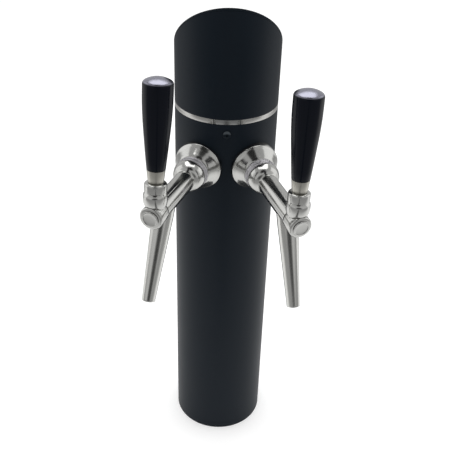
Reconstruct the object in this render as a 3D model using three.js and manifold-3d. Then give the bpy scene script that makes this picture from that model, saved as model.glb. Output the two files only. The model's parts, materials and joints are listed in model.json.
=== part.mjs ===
// Beer tower dispenser: a slant-topped column with two ball-lever taps.
// Millimetres, +Z up, the column's axis on Z, its base on z = 0 and its front towards -Y.
import * as THREE from 'three';
import { mergeVertices } from 'three/addons/utils/BufferGeometryUtils.js';
import Module from 'manifold-3d';

const wasm = await Module();
wasm.setup();

// Clearances
const seat = 0.3;              // between a turned piece and what it rests on
const threadPlay = 0.2;        // radial, between a thread and its nut
const slipPlay = 0.3;          // radial, between a sleeve and its bore
const overrun = 3;             // how far a cut runs past what it cuts
const mergeDistance = 1e-4;

// Column
const columnDiameter = 114;
const columnWall = 2.5;
const columnHeight = 454.4;
const ringHeight = 5.3;
const ringInsertHalfDeg = 14.4;
const ringJoint = 0.6;         // width of each joint line beside the insert
const capBackWall = 6.3;       // the shell's height at the back, under the lid
const cutSlopeDeg = 43.2;
const lidThickness = 2;
const lidLipDepth = 4;
const lidLipWall = 2;
const lidSeat = 0.15;
const spigotWall = 2;
const spigotBelow = 29;
const spigotAbove = 14;

// Lock screw of the cap
const lockScrewDrop = 11.4;    // below the top edge of the column tube
const lockScrewRadius = 2;
const lockScrewHeadRadius = 4.2;
const lockScrewHeadHeight = 2.4;
const lockScrewSocketRadius = 1.4;
const lockScrewSocketDepth = 1.3;
const lockScrewReach = 9;
const lockScrewSeat = 0.1;

// Base plate
const basePlateThickness = 8;
const baseRimHeight = 20;
const baseRimWall = 4;
const fixingCircleRadius = 42;
const fixingHoleRadius = 3.4;
const fixingCount = 4;
const lineOpeningRadius = 12;
const lineOpeningSpread = 22;
const lineOpeningBack = 14;

// Where each tap sits and how it points, in degrees from the front
const tapDrop = 51.1;          // below the top edge of the column tube
const taps = [
  { side: 'left', sign: -1, holeDeg: 30.8, aimDeg: 22.3, dipDeg: 1.1, leanDeg: 0.7 },
  { side: 'right', sign: 1, holeDeg: 32.4, aimDeg: 20.5, dipDeg: 4.8, leanDeg: 2.5 },
];

// Escutcheon, stations along the tap's axis counted from the column's surface
const escutcheonRadius = 26.6;
const escutcheonEdge = 4.6;
const escutcheonCone = 11.4;
const escutcheonNoseRadius = 17.7;
const escutcheonRound = 1.2;
const escutcheonNoseWall = 8;
const escutcheonCavityRadius = 20;
const escutcheonSkirt = 16;

// Shank and what clamps it inside the column
const shankRadius = 11;
const shankBore = 4.5;
const shankInside = 38;
const shankHolePlay = 0.6;
const shankTailRadius = 8.2;
const shankTailLength = 7;
const shankLipRadius = 13.2;
const shankLipLength = 2;
const shankChamberRadius = 8;
const shankChamberDepth = 8.7;
const saddleRadius = 17;
const saddleBack = 12;
const shankNutFlats = 30;
const shankNutLength = 7.5;

// Product pipe and its union nut
const pipeRadius = 4;
const pipeBore = 3;
const pipeBendRadius = 15;
const pipeCornerReach = 61;
const pipeEndHeight = 60;
const pipeCollarRadius = 7.4;
const pipeCollarLength = 2;
const pipeNutFlats = 22;
const pipeNutGrip = 6;
const pipeNutWall = 3.4;
const pipeBendShares = [0.1, 0.85];  // where along the run's steps the bend starts and ends

// Coupling nut
const couplingRadius = 17.6;
const couplingLength = 7.7;
const couplingBack = 2.1;
const couplingThreadRadius = 14.3;
const couplingChamfer = 0.9;
const knurlDepth = 0.5;
const knurlCount = 24;
const couplingGroove = 1;

// Tap body
const collarRadius = 18;
const collarLength = 13;
const collarChamfer = 2.6;
const bodyRadius = 11;
const bodyBore = 7;
const bulbRadius = 12.1;
const bulbLength = 18;
const bulbBlend = 2;
const bulbRound = 1.6;
const valveChamberRadius = 9;
const valveChamberLength = 9;
const valveSeatRadius = 4.6;
const valveSeatLength = 4;
const pivotStation = 105.3;
const pivotHeight = 15.4;
const bodyFront = 117.8;
const bossHeight = 8.8;
const bossShoulder = 0.7;      // how far the boss stands out past the bonnet's bore
const bossSpigotWall = 1;      // beside the ball, at its widest
const bossSpigotHeight = 4;
const bossBore = 6.6;

// Front cap
const frontCapPlugRadius = 7.7;
const frontCapPlugLength = 3;
const frontCapHeadRadius = 8.6;
const frontCapHeadLength = 1.2;
const frontCapChamfer = 0.5;

// Spout
const spoutRootStation = 85.8;
const spoutSlantDeg = 27.5;
const spoutLength = 100.8;
const spoutTopRadius = 11;
const spoutTipRadius = 6.9;
const spoutTipBore = 5;
const spoutTipRound = 0.8;
const spoutSpigotRadius = 7.6;
const spoutSpigotInset = 2;    // how far into the body's wall the spigot goes

// Lever, its ball and the handle's swing
const ballRadius = 8;
const stemRadius = 3.2;
const stemInGrip = 27;
const fingerRadius = 2;
const fingerTipRadius = 2.4;
const restTiltDeg = 8.6;       // the handle leans back to the column
const swingDeg = 27;
const throatPlay = 0.4;

// Bonnet nut, whose top is a dome about the ball's centre, and ball washer
const bonnetLip = 0.5;         // its foot stands out past the boss
const bonnetWall = 1.6;        // where the side runs into the dome
const bonnetSwell = 0.9;       // how far the side bulges past that
const bonnetShares = [[0, 0], [0.12, 0.4], [0.3, 0.85], [0.5, 1], [0.72, 1], [0.88, 0.75]];
const domeLift = 7.7;          // where the dome starts, above the ball's centre
const domePlay = 0.4;
const domeSteps = 2;
const ballWasherLength = 5;
const ballWasherDrop = 5.4;    // from its top down to the ball's centre

// Lever collar, hollow like the dome that it slides round
const leverCollarHub = 4.3;    // its thickness over the top of the dome
const leverCollarRim = 0.2;
const leverCollarRound = 1.4;
const leverCollarTopShares = [[0, 1.4], [0.3, 0.7], [1, 0.35]];  // inset and drop, of the round

// Ferrule and grip
const ferruleLength = 12.5;
const ferruleFootRadius = 7.8;
const ferruleTopRadius = 9.1;
const gripLength = 86.6;
const gripFootRadius = 9.2;
const gripTopRadius = 14.2;
const gripRound = 2.2;
const gripRoundSteps = 2;
const gripDomeDeg = 22;        // how steep the domed top is at its edge
const gripDomeSteps = 2;
const gripBoreSpare = 5;       // left free past the stem's end
const gripShares = [[0, 0], [0.25, 0.38], [0.5, 0.72], [0.7, 0.93], [0.85, 1], [1, 1]];

// Piston
const rodRadius = 2.6;
const rodStubRadius = 2.2;
const rodStubLength = 8;
const pistonHeadRadius = 6.5;
const pistonHeadBack = 8;
const pistonHeadFront = 2.5;
const pistonSlotPlay = 0.4;
const pistonTopHeight = 2.4;
const sealRadius = 6.6;
const sealLength = 2;
const sealLift = 0.3;
const valveNutFlats = 9;
const valveNutLength = 3.1;

// Facets round a circle
const columnFacets = 48;
const shownFacets = 20;
const plainFacets = 16;
const innerFacets = 10;
const hexagon = 6;
const pipeSteps = 8;
const pipeFacets = 4;          // steps round each half of the pipe

// Worked out from the above
const columnRadius = columnDiameter / 2;
const columnInner = columnRadius - columnWall;
const ringTop = columnHeight + ringHeight;
const cutSlope = THREE.MathUtils.degToRad(cutSlopeDeg);
const tapHeight = columnHeight - tapDrop;
const capBackHeight = capBackWall + (lidThickness + lidSeat) / Math.cos(cutSlope);
const frontTop = ringTop + capBackHeight + columnDiameter * Math.tan(cutSlope);
const noseStation = escutcheonEdge + escutcheonCone;
const couplingStart = noseStation + seat;
const couplingEnd = couplingStart + couplingLength;
const shankLipStart = couplingStart + couplingBack + seat;
const shankFront = shankLipStart + shankLipLength;
const bodyBack = shankFront + seat;
const collarStart = couplingEnd + couplingGroove;
const collarEnd = collarStart + collarLength;
const valveSeatStart = bodyBack + valveChamberLength;
const bodyBoreStart = valveSeatStart + valveSeatLength;
const spoutSlant = THREE.MathUtils.degToRad(spoutSlantDeg);
const restTilt = THREE.MathUtils.degToRad(restTiltDeg);
const openTilt = THREE.MathUtils.degToRad(swingDeg - restTiltDeg);
const frontCapFloor = bodyFront - frontCapPlugLength;
const fingerTipStation = pivotStation + pivotHeight * Math.sin(restTilt);
const bossSpigotRadius = ballRadius + slipPlay + bossSpigotWall;
const bonnetBore = bossSpigotRadius + threadPlay;
const bossRadius = bonnetBore + bossShoulder;
const bonnetFoot = bossHeight + seat;
const bonnetFootRadius = bossRadius + bonnetLip;
const domeFootRadius = bonnetBore + bonnetWall;
const bonnetBulge = domeFootRadius + bonnetSwell;
const domeRadius = Math.hypot(domeFootRadius, domeLift);

// Stations along the handle's axis, counted from the ball's centre
const leverCollarTop = domeRadius + domePlay + leverCollarHub;
const ferruleStart = leverCollarTop + seat;
const gripStart = ferruleStart + ferruleLength + seat;
const stemLength = gripStart + stemInGrip;
const gripBoreEnd = stemLength + gripBoreSpare;

// Finishes
const blackCoat = new THREE.MeshStandardMaterial({ color: 0x1b1e23, roughness: 0.45, metalness: 0.1 });
const blackGloss = new THREE.MeshStandardMaterial({ color: 0x0b0c0e, roughness: 0.12, metalness: 0 });
const polished = new THREE.MeshStandardMaterial({ color: 0xc9cac8, roughness: 0.12, metalness: 1 });
const satinSteel = new THREE.MeshStandardMaterial({ color: 0xb4b4ae, roughness: 0.35, metalness: 1 });
const knurledSteel = new THREE.MeshStandardMaterial({ color: 0x8f9090, roughness: 0.4, metalness: 1 });
const brass = new THREE.MeshStandardMaterial({ color: 0xb89a55, roughness: 0.4, metalness: 1 });
const whitePlastic = new THREE.MeshStandardMaterial({ color: 0xe6e4dc, roughness: 0.6, metalness: 0 });
const blackRubber = new THREE.MeshStandardMaterial({ color: 0x1a1a1a, roughness: 0.8, metalness: 0 });

// Makes a solid of a closed geometry.
function solidOf(geometry) {
  const bare = geometry.index ? geometry.toNonIndexed() : geometry.clone();
  bare.deleteAttribute('normal');
  bare.deleteAttribute('uv');
  const merged = mergeVertices(bare, mergeDistance);
  const corners = [];
  for (let i = 0; i < merged.index.count; i += 3) {
    const [a, b, c] = merged.index.array.slice(i, i + 3);
    if (a !== b && b !== c && c !== a) {
      corners.push(a, b, c);
    }
  }
  const mesh = new wasm.Mesh({
    numProp: 3,
    vertProperties: new Float32Array(merged.attributes.position.array),
    triVerts: new Uint32Array(corners),
  });
  return new wasm.Manifold(mesh);
}

// Gives a solid back as a named mesh.
function pieceOf(solid, name, finish) {
  const { vertProperties, triVerts } = solid.getMesh();
  const geometry = new THREE.BufferGeometry();
  geometry.setAttribute('position', new THREE.BufferAttribute(vertProperties, 3));
  geometry.setIndex(new THREE.BufferAttribute(triVerts, 1));
  geometry.computeVertexNormals();
  const mesh = new THREE.Mesh(geometry, finish);
  mesh.name = name;
  return mesh;
}

// Closes an outline of [radius, height] points and turns it round Y, its faces pointing out.
function turned(outline, facets) {
  const points = outline.map(([radius, height]) => new THREE.Vector2(radius, height));
  if (THREE.ShapeUtils.area(points) < 0) {
    points.reverse();
  }
  return new THREE.LatheGeometry([...points, points[0]], facets);
}

// Turns [radius, height] points round Z.
function turnedUp(outline, facets) {
  return solidOf(turned(outline, facets).rotateX(Math.PI / 2));
}

// Turns [station, radius] points round the tap's axis, X.
function turnedAlong(outline, facets) {
  const upright = outline.map(([station, radius]) => [radius, station]);
  return solidOf(turned(upright, facets).rotateZ(-Math.PI / 2));
}

// A plain rod along X between two stations.
function rodAlong(from, to, radius, facets) {
  const geometry = new THREE.CylinderGeometry(radius, radius, to - from, facets);
  return solidOf(geometry.rotateZ(-Math.PI / 2).translate((from + to) / 2, 0, 0));
}

// A plain rod along Z between two heights.
function rodUp(from, to, radius, facets) {
  const geometry = new THREE.CylinderGeometry(radius, radius, to - from, facets);
  return solidOf(geometry.rotateX(Math.PI / 2).translate(0, 0, (from + to) / 2));
}

// A hexagon along X, given its size across flats.
function hexAlong(from, to, flats) {
  return rodAlong(from, to, flats / Math.sqrt(3), hexagon);
}

function ball(radius, facets) {
  return solidOf(new THREE.SphereGeometry(radius, facets, facets / 2));
}

// Points of [radius, height] on an arc, its angles counted from straight up and its centre given.
function arc(radius, from, to, steps, [x, z]) {
  return Array.from({ length: steps + 1 }, (_, i) => {
    const angle = from + (to - from) * i / steps;
    return [x + radius * Math.sin(angle), z + radius * Math.cos(angle)];
  });
}

// A wide slab whose upper face is the cap's slanted cut, lowered square to itself by drop.
function belowCut(drop) {
  const reach = 2 * (frontTop + columnDiameter);
  const geometry = new THREE.BoxGeometry(reach, reach, reach).translate(0, 0, -reach / 2 - drop);
  return solidOf(geometry.rotateX(-cutSlope).translate(0, -columnRadius, frontTop));
}

// Where a tap's own frame sits: X out along its axis from the column's surface, Z up its bonnet.
function tapMatrix({ sign, holeDeg, aimDeg, dipDeg, leanDeg }) {
  const hole = sign * THREE.MathUtils.degToRad(holeDeg);
  const aim = sign * THREE.MathUtils.degToRad(aimDeg);
  const dip = THREE.MathUtils.degToRad(dipDeg);
  const lean = sign * THREE.MathUtils.degToRad(leanDeg);
  const outward = new THREE.Vector3(Math.sin(aim), -Math.cos(aim), 0);
  const across = new THREE.Vector3(Math.cos(aim), Math.sin(aim), 0);
  const upward = new THREE.Vector3(0, 0, 1);
  const along = outward.clone().multiplyScalar(Math.cos(dip)).addScaledVector(upward, -Math.sin(dip));
  const square = upward.clone().multiplyScalar(Math.cos(dip)).addScaledVector(outward, Math.sin(dip));
  const up = square.multiplyScalar(Math.cos(lean)).addScaledVector(across, Math.sin(lean));
  const side = new THREE.Vector3().crossVectors(up, along);
  const origin = new THREE.Vector3(columnRadius * Math.sin(hole), -columnRadius * Math.cos(hole), tapHeight);
  return new THREE.Matrix4().makeBasis(along, side, up).setPosition(origin);
}

// The column's round form seen from a tap's frame, to cut saddles with.
function columnSeenFrom(matrix, radius) {
  const form = rodUp(-overrun, frontTop, radius, columnFacets);
  return form.transform(matrix.clone().invert().elements);
}

// A wedge at the front of the column, given its half angle.
function frontWedge(halfAngle) {
  const reach = columnDiameter;
  const shape = new THREE.Shape([
    new THREE.Vector2(0, 0),
    new THREE.Vector2(-reach * Math.sin(halfAngle), -reach * Math.cos(halfAngle)),
    new THREE.Vector2(reach * Math.sin(halfAngle), -reach * Math.cos(halfAngle)),
  ]);
  const geometry = new THREE.ExtrudeGeometry(shape, { depth: ringHeight + 2 * overrun, bevelEnabled: false });
  return solidOf(geometry.translate(0, 0, columnHeight - overrun));
}

// Column

function hollowRound(from, to, outer, inner) {
  return rodUp(from, to, outer, columnFacets).subtract(rodUp(from - overrun, to + overrun, inner, columnFacets));
}

function lockScrewPlace(solid) {
  return solid.rotate([0, 0, -90]).translate([0, -columnRadius, columnHeight - lockScrewDrop]);
}

function lockScrewHole(play) {
  return lockScrewPlace(rodAlong(-lockScrewReach - overrun, overrun, lockScrewRadius + play, innerFacets));
}

function columnTube() {
  let tube = hollowRound(0, columnHeight, columnRadius, columnInner);
  for (const tap of taps) {
    const hole = rodAlong(-escutcheonSkirt, escutcheonSkirt, shankRadius + shankHolePlay, plainFacets);
    tube = tube.subtract(hole.transform(tapMatrix(tap).elements));
  }
  return pieceOf(tube.subtract(lockScrewHole(threadPlay)), 'column_tube', blackCoat);
}

function basePlate() {
  const outer = columnInner - slipPlay;
  let plate = rodUp(0, basePlateThickness, outer, columnFacets);
  plate = plate.add(hollowRound(0, baseRimHeight, outer, outer - baseRimWall));
  for (const side of [-1, 1]) {
    const opening = rodUp(-overrun, basePlateThickness + overrun, lineOpeningRadius, plainFacets);
    plate = plate.subtract(opening.translate([side * lineOpeningSpread, lineOpeningBack, 0]));
  }
  for (let i = 0; i < fixingCount; i += 1) {
    const turn = (i + 0.5) * 2 * Math.PI / fixingCount;
    const hole = rodUp(-overrun, basePlateThickness + overrun, fixingHoleRadius, innerFacets);
    const place = [fixingCircleRadius * Math.cos(turn), fixingCircleRadius * Math.sin(turn), 0];
    plate = plate.subtract(hole.translate(place));
  }
  return pieceOf(plate, 'base_plate', satinSteel);
}

function trimRing() {
  const joint = ringJoint / 2 / columnRadius;
  const insertHalf = THREE.MathUtils.degToRad(ringInsertHalfDeg);
  const band = hollowRound(columnHeight, ringTop, columnRadius, columnInner);
  return [
    pieceOf(band.subtract(frontWedge(insertHalf + joint)), 'trim_ring', satinSteel),
    pieceOf(band.intersect(frontWedge(insertHalf - joint)), 'trim_ring_insert', knurledSteel),
  ];
}

function topCapShell() {
  const shell = hollowRound(ringTop, frontTop + overrun, columnRadius, columnInner);
  return pieceOf(shell.intersect(belowCut(lidThickness + lidSeat)), 'top_cap_shell', blackCoat);
}

function topCapLid() {
  const round = rodUp(ringTop, frontTop + overrun, columnRadius, columnFacets);
  const plate = round.intersect(belowCut(0)).subtract(belowCut(lidThickness));
  const lipOuter = columnInner - slipPlay;
  const ring = hollowRound(columnHeight, frontTop + overrun, lipOuter, lipOuter - lidLipWall);
  const lip = ring.intersect(belowCut(lidThickness / 2)).subtract(belowCut(lidThickness + lidLipDepth));
  return pieceOf(plate.add(lip), 'top_cap_lid', blackCoat);
}

function capSpigot() {
  const outer = columnInner - slipPlay;
  const sleeve = hollowRound(columnHeight - spigotBelow, ringTop + spigotAbove, outer, outer - spigotWall);
  const trimmed = sleeve.intersect(belowCut(lidThickness + lidLipDepth + seat));
  return pieceOf(trimmed.subtract(lockScrewHole(threadPlay)), 'cap_spigot', satinSteel);
}

function capLockScrew() {
  const head = [[0, 0], [0, 1], [0.35, 0.98], [0.7, 0.8], [1, 0.5], [1, 0]];
  const outline = head.map(([rise, width]) => [
    lockScrewSeat + rise * lockScrewHeadHeight,
    width * lockScrewHeadRadius,
  ]);
  const front = lockScrewSeat + lockScrewHeadHeight;
  const screw = turnedAlong(outline, innerFacets)
    .add(rodAlong(-lockScrewReach, front - lockScrewSocketDepth, lockScrewRadius, innerFacets))
    .subtract(rodAlong(front - lockScrewSocketDepth, front + overrun, lockScrewSocketRadius, hexagon));
  return pieceOf(lockScrewPlace(screw), 'cap_lock_screw', blackCoat);
}

// Tap: what clamps it to the column

function escutcheon(tap, matrix) {
  const outline = [
    [-escutcheonSkirt, escutcheonCavityRadius],
    [-escutcheonSkirt, escutcheonRadius],
    [escutcheonEdge - escutcheonRound, escutcheonRadius],
    [escutcheonEdge, escutcheonRadius - escutcheonRound],
    [noseStation, escutcheonNoseRadius],
    [noseStation, shankRadius + slipPlay],
    [noseStation - escutcheonNoseWall, shankRadius + slipPlay],
    [noseStation - escutcheonNoseWall, escutcheonCavityRadius],
  ];
  const cone = turnedAlong(outline, shownFacets).subtract(columnSeenFrom(matrix, columnRadius + seat));
  return pieceOf(cone, `${tap.side}_escutcheon`, polished);
}

function shank(tap) {
  const outline = [
    [-shankInside, shankBore],
    [-shankInside, shankTailRadius],
    [shankTailLength - shankInside, shankTailRadius],
    [shankTailLength - shankInside, shankRadius],
    [shankLipStart, shankRadius],
    [shankLipStart, shankLipRadius],
    [shankFront, shankLipRadius],
    [shankFront, shankChamberRadius],
    [shankFront - shankChamberDepth, shankChamberRadius],
    [shankFront - shankChamberDepth, shankBore],
  ];
  return pieceOf(turnedAlong(outline, innerFacets), `${tap.side}_shank`, satinSteel);
}

function saddleWasher(tap, matrix) {
  const washer = rodAlong(-saddleBack, escutcheonSkirt, saddleRadius, plainFacets)
    .intersect(columnSeenFrom(matrix, columnInner - seat))
    .subtract(rodAlong(-saddleBack - overrun, escutcheonSkirt, shankRadius + slipPlay, innerFacets));
  return pieceOf(washer, `${tap.side}_saddle_washer`, satinSteel);
}

function shankNut(tap) {
  const front = -saddleBack - seat;
  const back = front - shankNutLength;
  const bore = rodAlong(back - overrun, front + overrun, shankRadius + threadPlay, innerFacets);
  return pieceOf(hexAlong(back, front, shankNutFlats).subtract(bore), `${tap.side}_shank_nut`, brass);
}

// A pipe run: straight in, one round bend, straight on. Most of its steps lie in the bend.
class PipeRun extends THREE.Curve {
  constructor(start, corner, end, radius) {
    super();
    this.into = corner.clone().sub(start).normalize();
    this.out = end.clone().sub(corner).normalize();
    this.turn = this.into.angleTo(this.out);
    const cutBack = radius * Math.tan(this.turn / 2);
    this.start = start;
    this.end = end;
    this.bendStart = corner.clone().addScaledVector(this.into, -cutBack);
    this.bendEnd = corner.clone().addScaledVector(this.out, cutBack);
    this.radius = radius;
    this.inward = this.out.clone().addScaledVector(this.into, -this.out.dot(this.into)).normalize();
  }

  getPoint(t) {
    const [bendFrom, bendTo] = pipeBendShares;
    if (t <= bendFrom) {
      return this.start.clone().lerp(this.bendStart, t / bendFrom);
    }
    if (t >= bendTo) {
      return this.bendEnd.clone().lerp(this.end, (t - bendTo) / (1 - bendTo));
    }
    const angle = this.turn * (t - bendFrom) / (bendTo - bendFrom);
    return this.bendStart.clone()
      .addScaledVector(this.into, this.radius * Math.sin(angle))
      .addScaledVector(this.inward, this.radius * (1 - Math.cos(angle)));
  }

  getUtoTmapping(u) {
    return u;
  }
}

function productPipe(tap, matrix) {
  const start = new THREE.Vector3(-shankInside - seat, 0, 0);
  const corner = new THREE.Vector3(-pipeCornerReach, 0, 0);
  const foot = new THREE.Vector3(tap.sign * lineOpeningSpread, lineOpeningBack, pipeEndHeight);
  const end = foot.applyMatrix4(matrix.clone().invert());
  const section = new THREE.Shape().absarc(0, 0, pipeRadius, 0, 2 * Math.PI);
  section.holes.push(new THREE.Path().absarc(0, 0, pipeBore, 0, 2 * Math.PI, true));
  const geometry = new THREE.ExtrudeGeometry(section, {
    steps: pipeSteps,
    curveSegments: pipeFacets,
    bevelEnabled: false,
    extrudePath: new PipeRun(start, corner, end, pipeBendRadius),
  });
  const collarBore = (pipeRadius + pipeBore) / 2;
  const collar = rodAlong(start.x - pipeCollarLength, start.x, pipeCollarRadius, innerFacets)
    .subtract(rodAlong(start.x - pipeCollarLength - overrun, start.x + overrun, collarBore, innerFacets));
  return pieceOf(solidOf(geometry).add(collar), `${tap.side}_product_pipe`, satinSteel);
}

function pipeNut(tap) {
  const shoulder = -shankInside - 2 * seat - pipeCollarLength;
  const back = shoulder - pipeNutWall;
  const front = pipeNutGrip - shankInside;
  const nut = hexAlong(back, front, pipeNutFlats)
    .subtract(rodAlong(shoulder, front + overrun, shankTailRadius + threadPlay, innerFacets))
    .subtract(rodAlong(back - overrun, shoulder + overrun, pipeRadius + slipPlay, innerFacets));
  return pieceOf(nut, `${tap.side}_pipe_nut`, brass);
}

// A star outline round the coupling nut, for its knurl.
function knurledForm() {
  const points = [];
  for (let i = 0; i < 2 * knurlCount; i += 1) {
    const turn = i * Math.PI / knurlCount;
    const radius = couplingRadius - (i % 2) * knurlDepth;
    points.push(new THREE.Vector2(radius * Math.cos(turn), radius * Math.sin(turn)));
  }
  const geometry = new THREE.ExtrudeGeometry(new THREE.Shape(points), { depth: couplingLength, bevelEnabled: false });
  return solidOf(geometry.rotateY(Math.PI / 2).translate(couplingStart, 0, 0));
}

function couplingNut(tap) {
  const tip = couplingRadius - couplingChamfer;
  const envelope = turnedAlong([
    [couplingStart, shankRadius + slipPlay],
    [couplingStart, tip],
    [couplingStart + couplingChamfer, couplingRadius],
    [couplingEnd - couplingChamfer, couplingRadius],
    [couplingEnd, tip],
    [couplingEnd, couplingThreadRadius],
    [couplingStart + couplingBack, couplingThreadRadius],
    [couplingStart + couplingBack, shankRadius + slipPlay],
  ], shownFacets);
  return pieceOf(envelope.intersect(knurledForm()), `${tap.side}_coupling_nut`, knurledSteel);
}

// Tap: body, cap and spout

// The tube and front bulb of the body, grown by a clearance where another piece is cut by it.
function bodyForm(grow) {
  const bulbStart = bodyFront - bulbLength;
  return turnedAlong([
    [collarStart, 0],
    [collarStart, bodyRadius + grow],
    [bulbStart, bodyRadius + grow],
    [bulbStart + bulbBlend, bulbRadius + grow],
    [bodyFront - bulbRound, bulbRadius + grow],
    [bodyFront - bulbRound / 3, bulbRadius + grow - bulbRound / 3],
    [bodyFront, bulbRadius + grow - bulbRound],
    [bodyFront, 0],
  ], shownFacets);
}

function bodyCollar() {
  const maleThread = couplingThreadRadius - threadPlay;
  return turnedAlong([
    [bodyBack, 0],
    [bodyBack, maleThread],
    [collarStart, maleThread],
    [collarStart, collarRadius - collarChamfer / 2],
    [collarStart + collarChamfer / 2, collarRadius],
    [collarEnd - collarChamfer, collarRadius],
    [collarEnd, collarRadius - collarChamfer],
    [collarEnd, 0],
  ], shownFacets);
}

// Everything bored out along the body's axis.
function bodyBores() {
  const capThread = frontCapPlugRadius + threadPlay;
  const capSeat = frontCapFloor - seat;
  return turnedAlong([
    [bodyBack - overrun, 0],
    [bodyBack - overrun, valveChamberRadius],
    [valveSeatStart, valveChamberRadius],
    [valveSeatStart, valveSeatRadius],
    [bodyBoreStart, valveSeatRadius],
    [bodyBoreStart, bodyBore],
    [capSeat, bodyBore],
    [capSeat, capThread],
    [bodyFront + overrun, capThread],
    [bodyFront + overrun, 0],
  ], plainFacets);
}

function alongSpout(solid) {
  return solid.rotate([0, -spoutSlantDeg, 0]).translate([spoutRootStation, 0, 0]);
}

function faucetBody(tap) {
  const boss = rodUp(0, bossHeight, bossRadius, shownFacets)
    .add(rodUp(0, bossHeight + bossSpigotHeight, bossSpigotRadius, plainFacets))
    .translate([pivotStation, 0, 0]);
  const shaftWay = rodUp(0, pivotHeight, bossBore, plainFacets).translate([pivotStation, 0, 0]);
  const cup = ball(ballRadius + slipPlay, plainFacets).translate([pivotStation, 0, pivotHeight]);
  const spoutWay = alongSpout(rodUp(-bodyRadius - bulbRadius, 0, spoutSpigotRadius + slipPlay, innerFacets));
  const side = bonnetSide(seat);
  const [[footRadius]] = side;
  const [, sideTop] = side.at(-1);
  const bonnetRecess = turnedUp([[0, bossHeight], [footRadius, bossHeight], ...side, [0, sideTop]], shownFacets)
    .translate([pivotStation, 0, 0]);
  const body = bodyForm(0).subtract(bonnetRecess).add(bodyCollar()).add(boss)
    .subtract(bodyBores()).subtract(shaftWay).subtract(cup).subtract(spoutWay);
  return pieceOf(body, `${tap.side}_faucet_body`, polished);
}

function frontCap(tap) {
  const headFront = bodyFront + seat + frontCapHeadLength;
  const cap = turnedAlong([
    [frontCapFloor, 0],
    [frontCapFloor, frontCapPlugRadius],
    [bodyFront + seat, frontCapPlugRadius],
    [bodyFront + seat, frontCapHeadRadius],
    [headFront - frontCapChamfer, frontCapHeadRadius],
    [headFront, frontCapHeadRadius - frontCapChamfer],
    [headFront, 0],
  ], plainFacets);
  return pieceOf(cap, `${tap.side}_front_cap`, polished);
}

function spout(tap) {
  const cone = turnedUp([
    [0, 0],
    [0, -spoutLength],
    [spoutTipRadius - spoutTipRound, -spoutLength],
    [spoutTipRadius, spoutTipRound - spoutLength],
    [spoutTopRadius, -bodyRadius],
    [spoutTopRadius, 0],
  ], plainFacets).rotate([0, -spoutSlantDeg, 0]).translate([spoutRootStation, 0, 0]);
  const spigot = alongSpout(rodUp(-2 * bodyRadius, 0, spoutSpigotRadius, innerFacets))
    .subtract(rodAlong(0, bodyFront, bodyRadius - spoutSpigotInset, plainFacets));
  const bore = alongSpout(rodUp(-spoutLength - overrun, overrun, spoutTipBore, innerFacets));
  const solid = cone.subtract(bodyForm(seat)).add(spigot).subtract(bore);
  return pieceOf(solid, `${tap.side}_spout`, satinSteel);
}

// Tap: bonnet, lever and handle

// The bonnet's side from its foot to the dome, grown by a clearance where the body is cut by it.
function bonnetSide(grow) {
  return bonnetShares.map(([rise, width]) => [
    bonnetFootRadius + width * (bonnetBulge - bonnetFootRadius) + grow,
    bonnetFoot + rise * (pivotHeight + domeLift - bonnetFoot),
  ]);
}

// How wide the throat must be at a height over the ball's centre for the stem to swing in it.
function throatAt(height) {
  return height * Math.tan(openTilt) + stemRadius / Math.cos(openTilt) + throatPlay;
}

// The angle from upright at which that throat comes out of the dome.
function throatAngle() {
  return openTilt + Math.asin((stemRadius + throatPlay * Math.cos(openTilt)) / domeRadius);
}

function bonnetNut(tap) {
  const shoulder = ballWasherDrop + seat;
  const domeFootAngle = Math.asin(domeFootRadius / domeRadius);
  const outline = [
    [bonnetBore, bonnetFoot],
    ...bonnetSide(0),
    ...arc(domeRadius, domeFootAngle, throatAngle(), domeSteps, [0, pivotHeight]),
    [throatAt(shoulder), pivotHeight + shoulder],
    [bonnetBore, pivotHeight + shoulder],
  ];
  const nut = turnedUp(outline, shownFacets).translate([pivotStation, 0, 0]);
  return pieceOf(nut, `${tap.side}_bonnet_nut`, polished);
}

function ballWasher(tap) {
  const top = pivotHeight + ballWasherDrop;
  const ring = rodUp(top - ballWasherLength, top, bonnetBore - slipPlay, plainFacets)
    .translate([pivotStation, 0, 0])
    .subtract(ball(ballRadius + slipPlay, plainFacets).translate([pivotStation, 0, pivotHeight]));
  return pieceOf(ring, `${tap.side}_ball_washer`, whitePlastic);
}

// The handle's pieces are made upright about the ball's centre and leaned back by their group.
function lever(tap) {
  const solid = ball(ballRadius, plainFacets)
    .add(rodUp(0, stemLength, stemRadius, innerFacets))
    .add(rodUp(-pivotHeight, 0, fingerRadius, innerFacets))
    .add(ball(fingerTipRadius, innerFacets).translate([0, 0, -pivotHeight]));
  return pieceOf(solid, `${tap.side}_lever`, satinSteel);
}

// It rides on the stem and keeps the throat covered through the whole swing.
function leverCollar(tap) {
  const bore = stemRadius + threadPlay;
  const hollow = domeRadius + domePlay;
  const rimRadius = domeFootRadius - leverCollarRim;
  const hollowArc = arc(hollow, Math.asin(bore / hollow), Math.asin(rimRadius / hollow), 2 * domeSteps, [0, 0]);
  const [, rimHeight] = hollowArc.at(-1);
  const edge = leverCollarTopShares.map(([inset, drop]) => [
    domeFootRadius - inset * leverCollarRound,
    leverCollarTop - drop * leverCollarRound,
  ]);
  const collar = turnedUp([
    ...hollowArc,
    [domeFootRadius, rimHeight + leverCollarRim],
    ...edge,
    [ferruleFootRadius, leverCollarTop],
    [bore, leverCollarTop],
  ], shownFacets);
  return pieceOf(collar, `${tap.side}_lever_collar`, polished);
}

function ferrule(tap) {
  const top = ferruleStart + ferruleLength;
  const sleeve = turnedUp([
    [stemRadius + slipPlay, ferruleStart],
    [ferruleFootRadius, ferruleStart],
    [ferruleTopRadius, top],
    [stemRadius + slipPlay, top],
  ], plainFacets);
  return pieceOf(sleeve, `${tap.side}_ferrule`, satinSteel);
}

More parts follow.
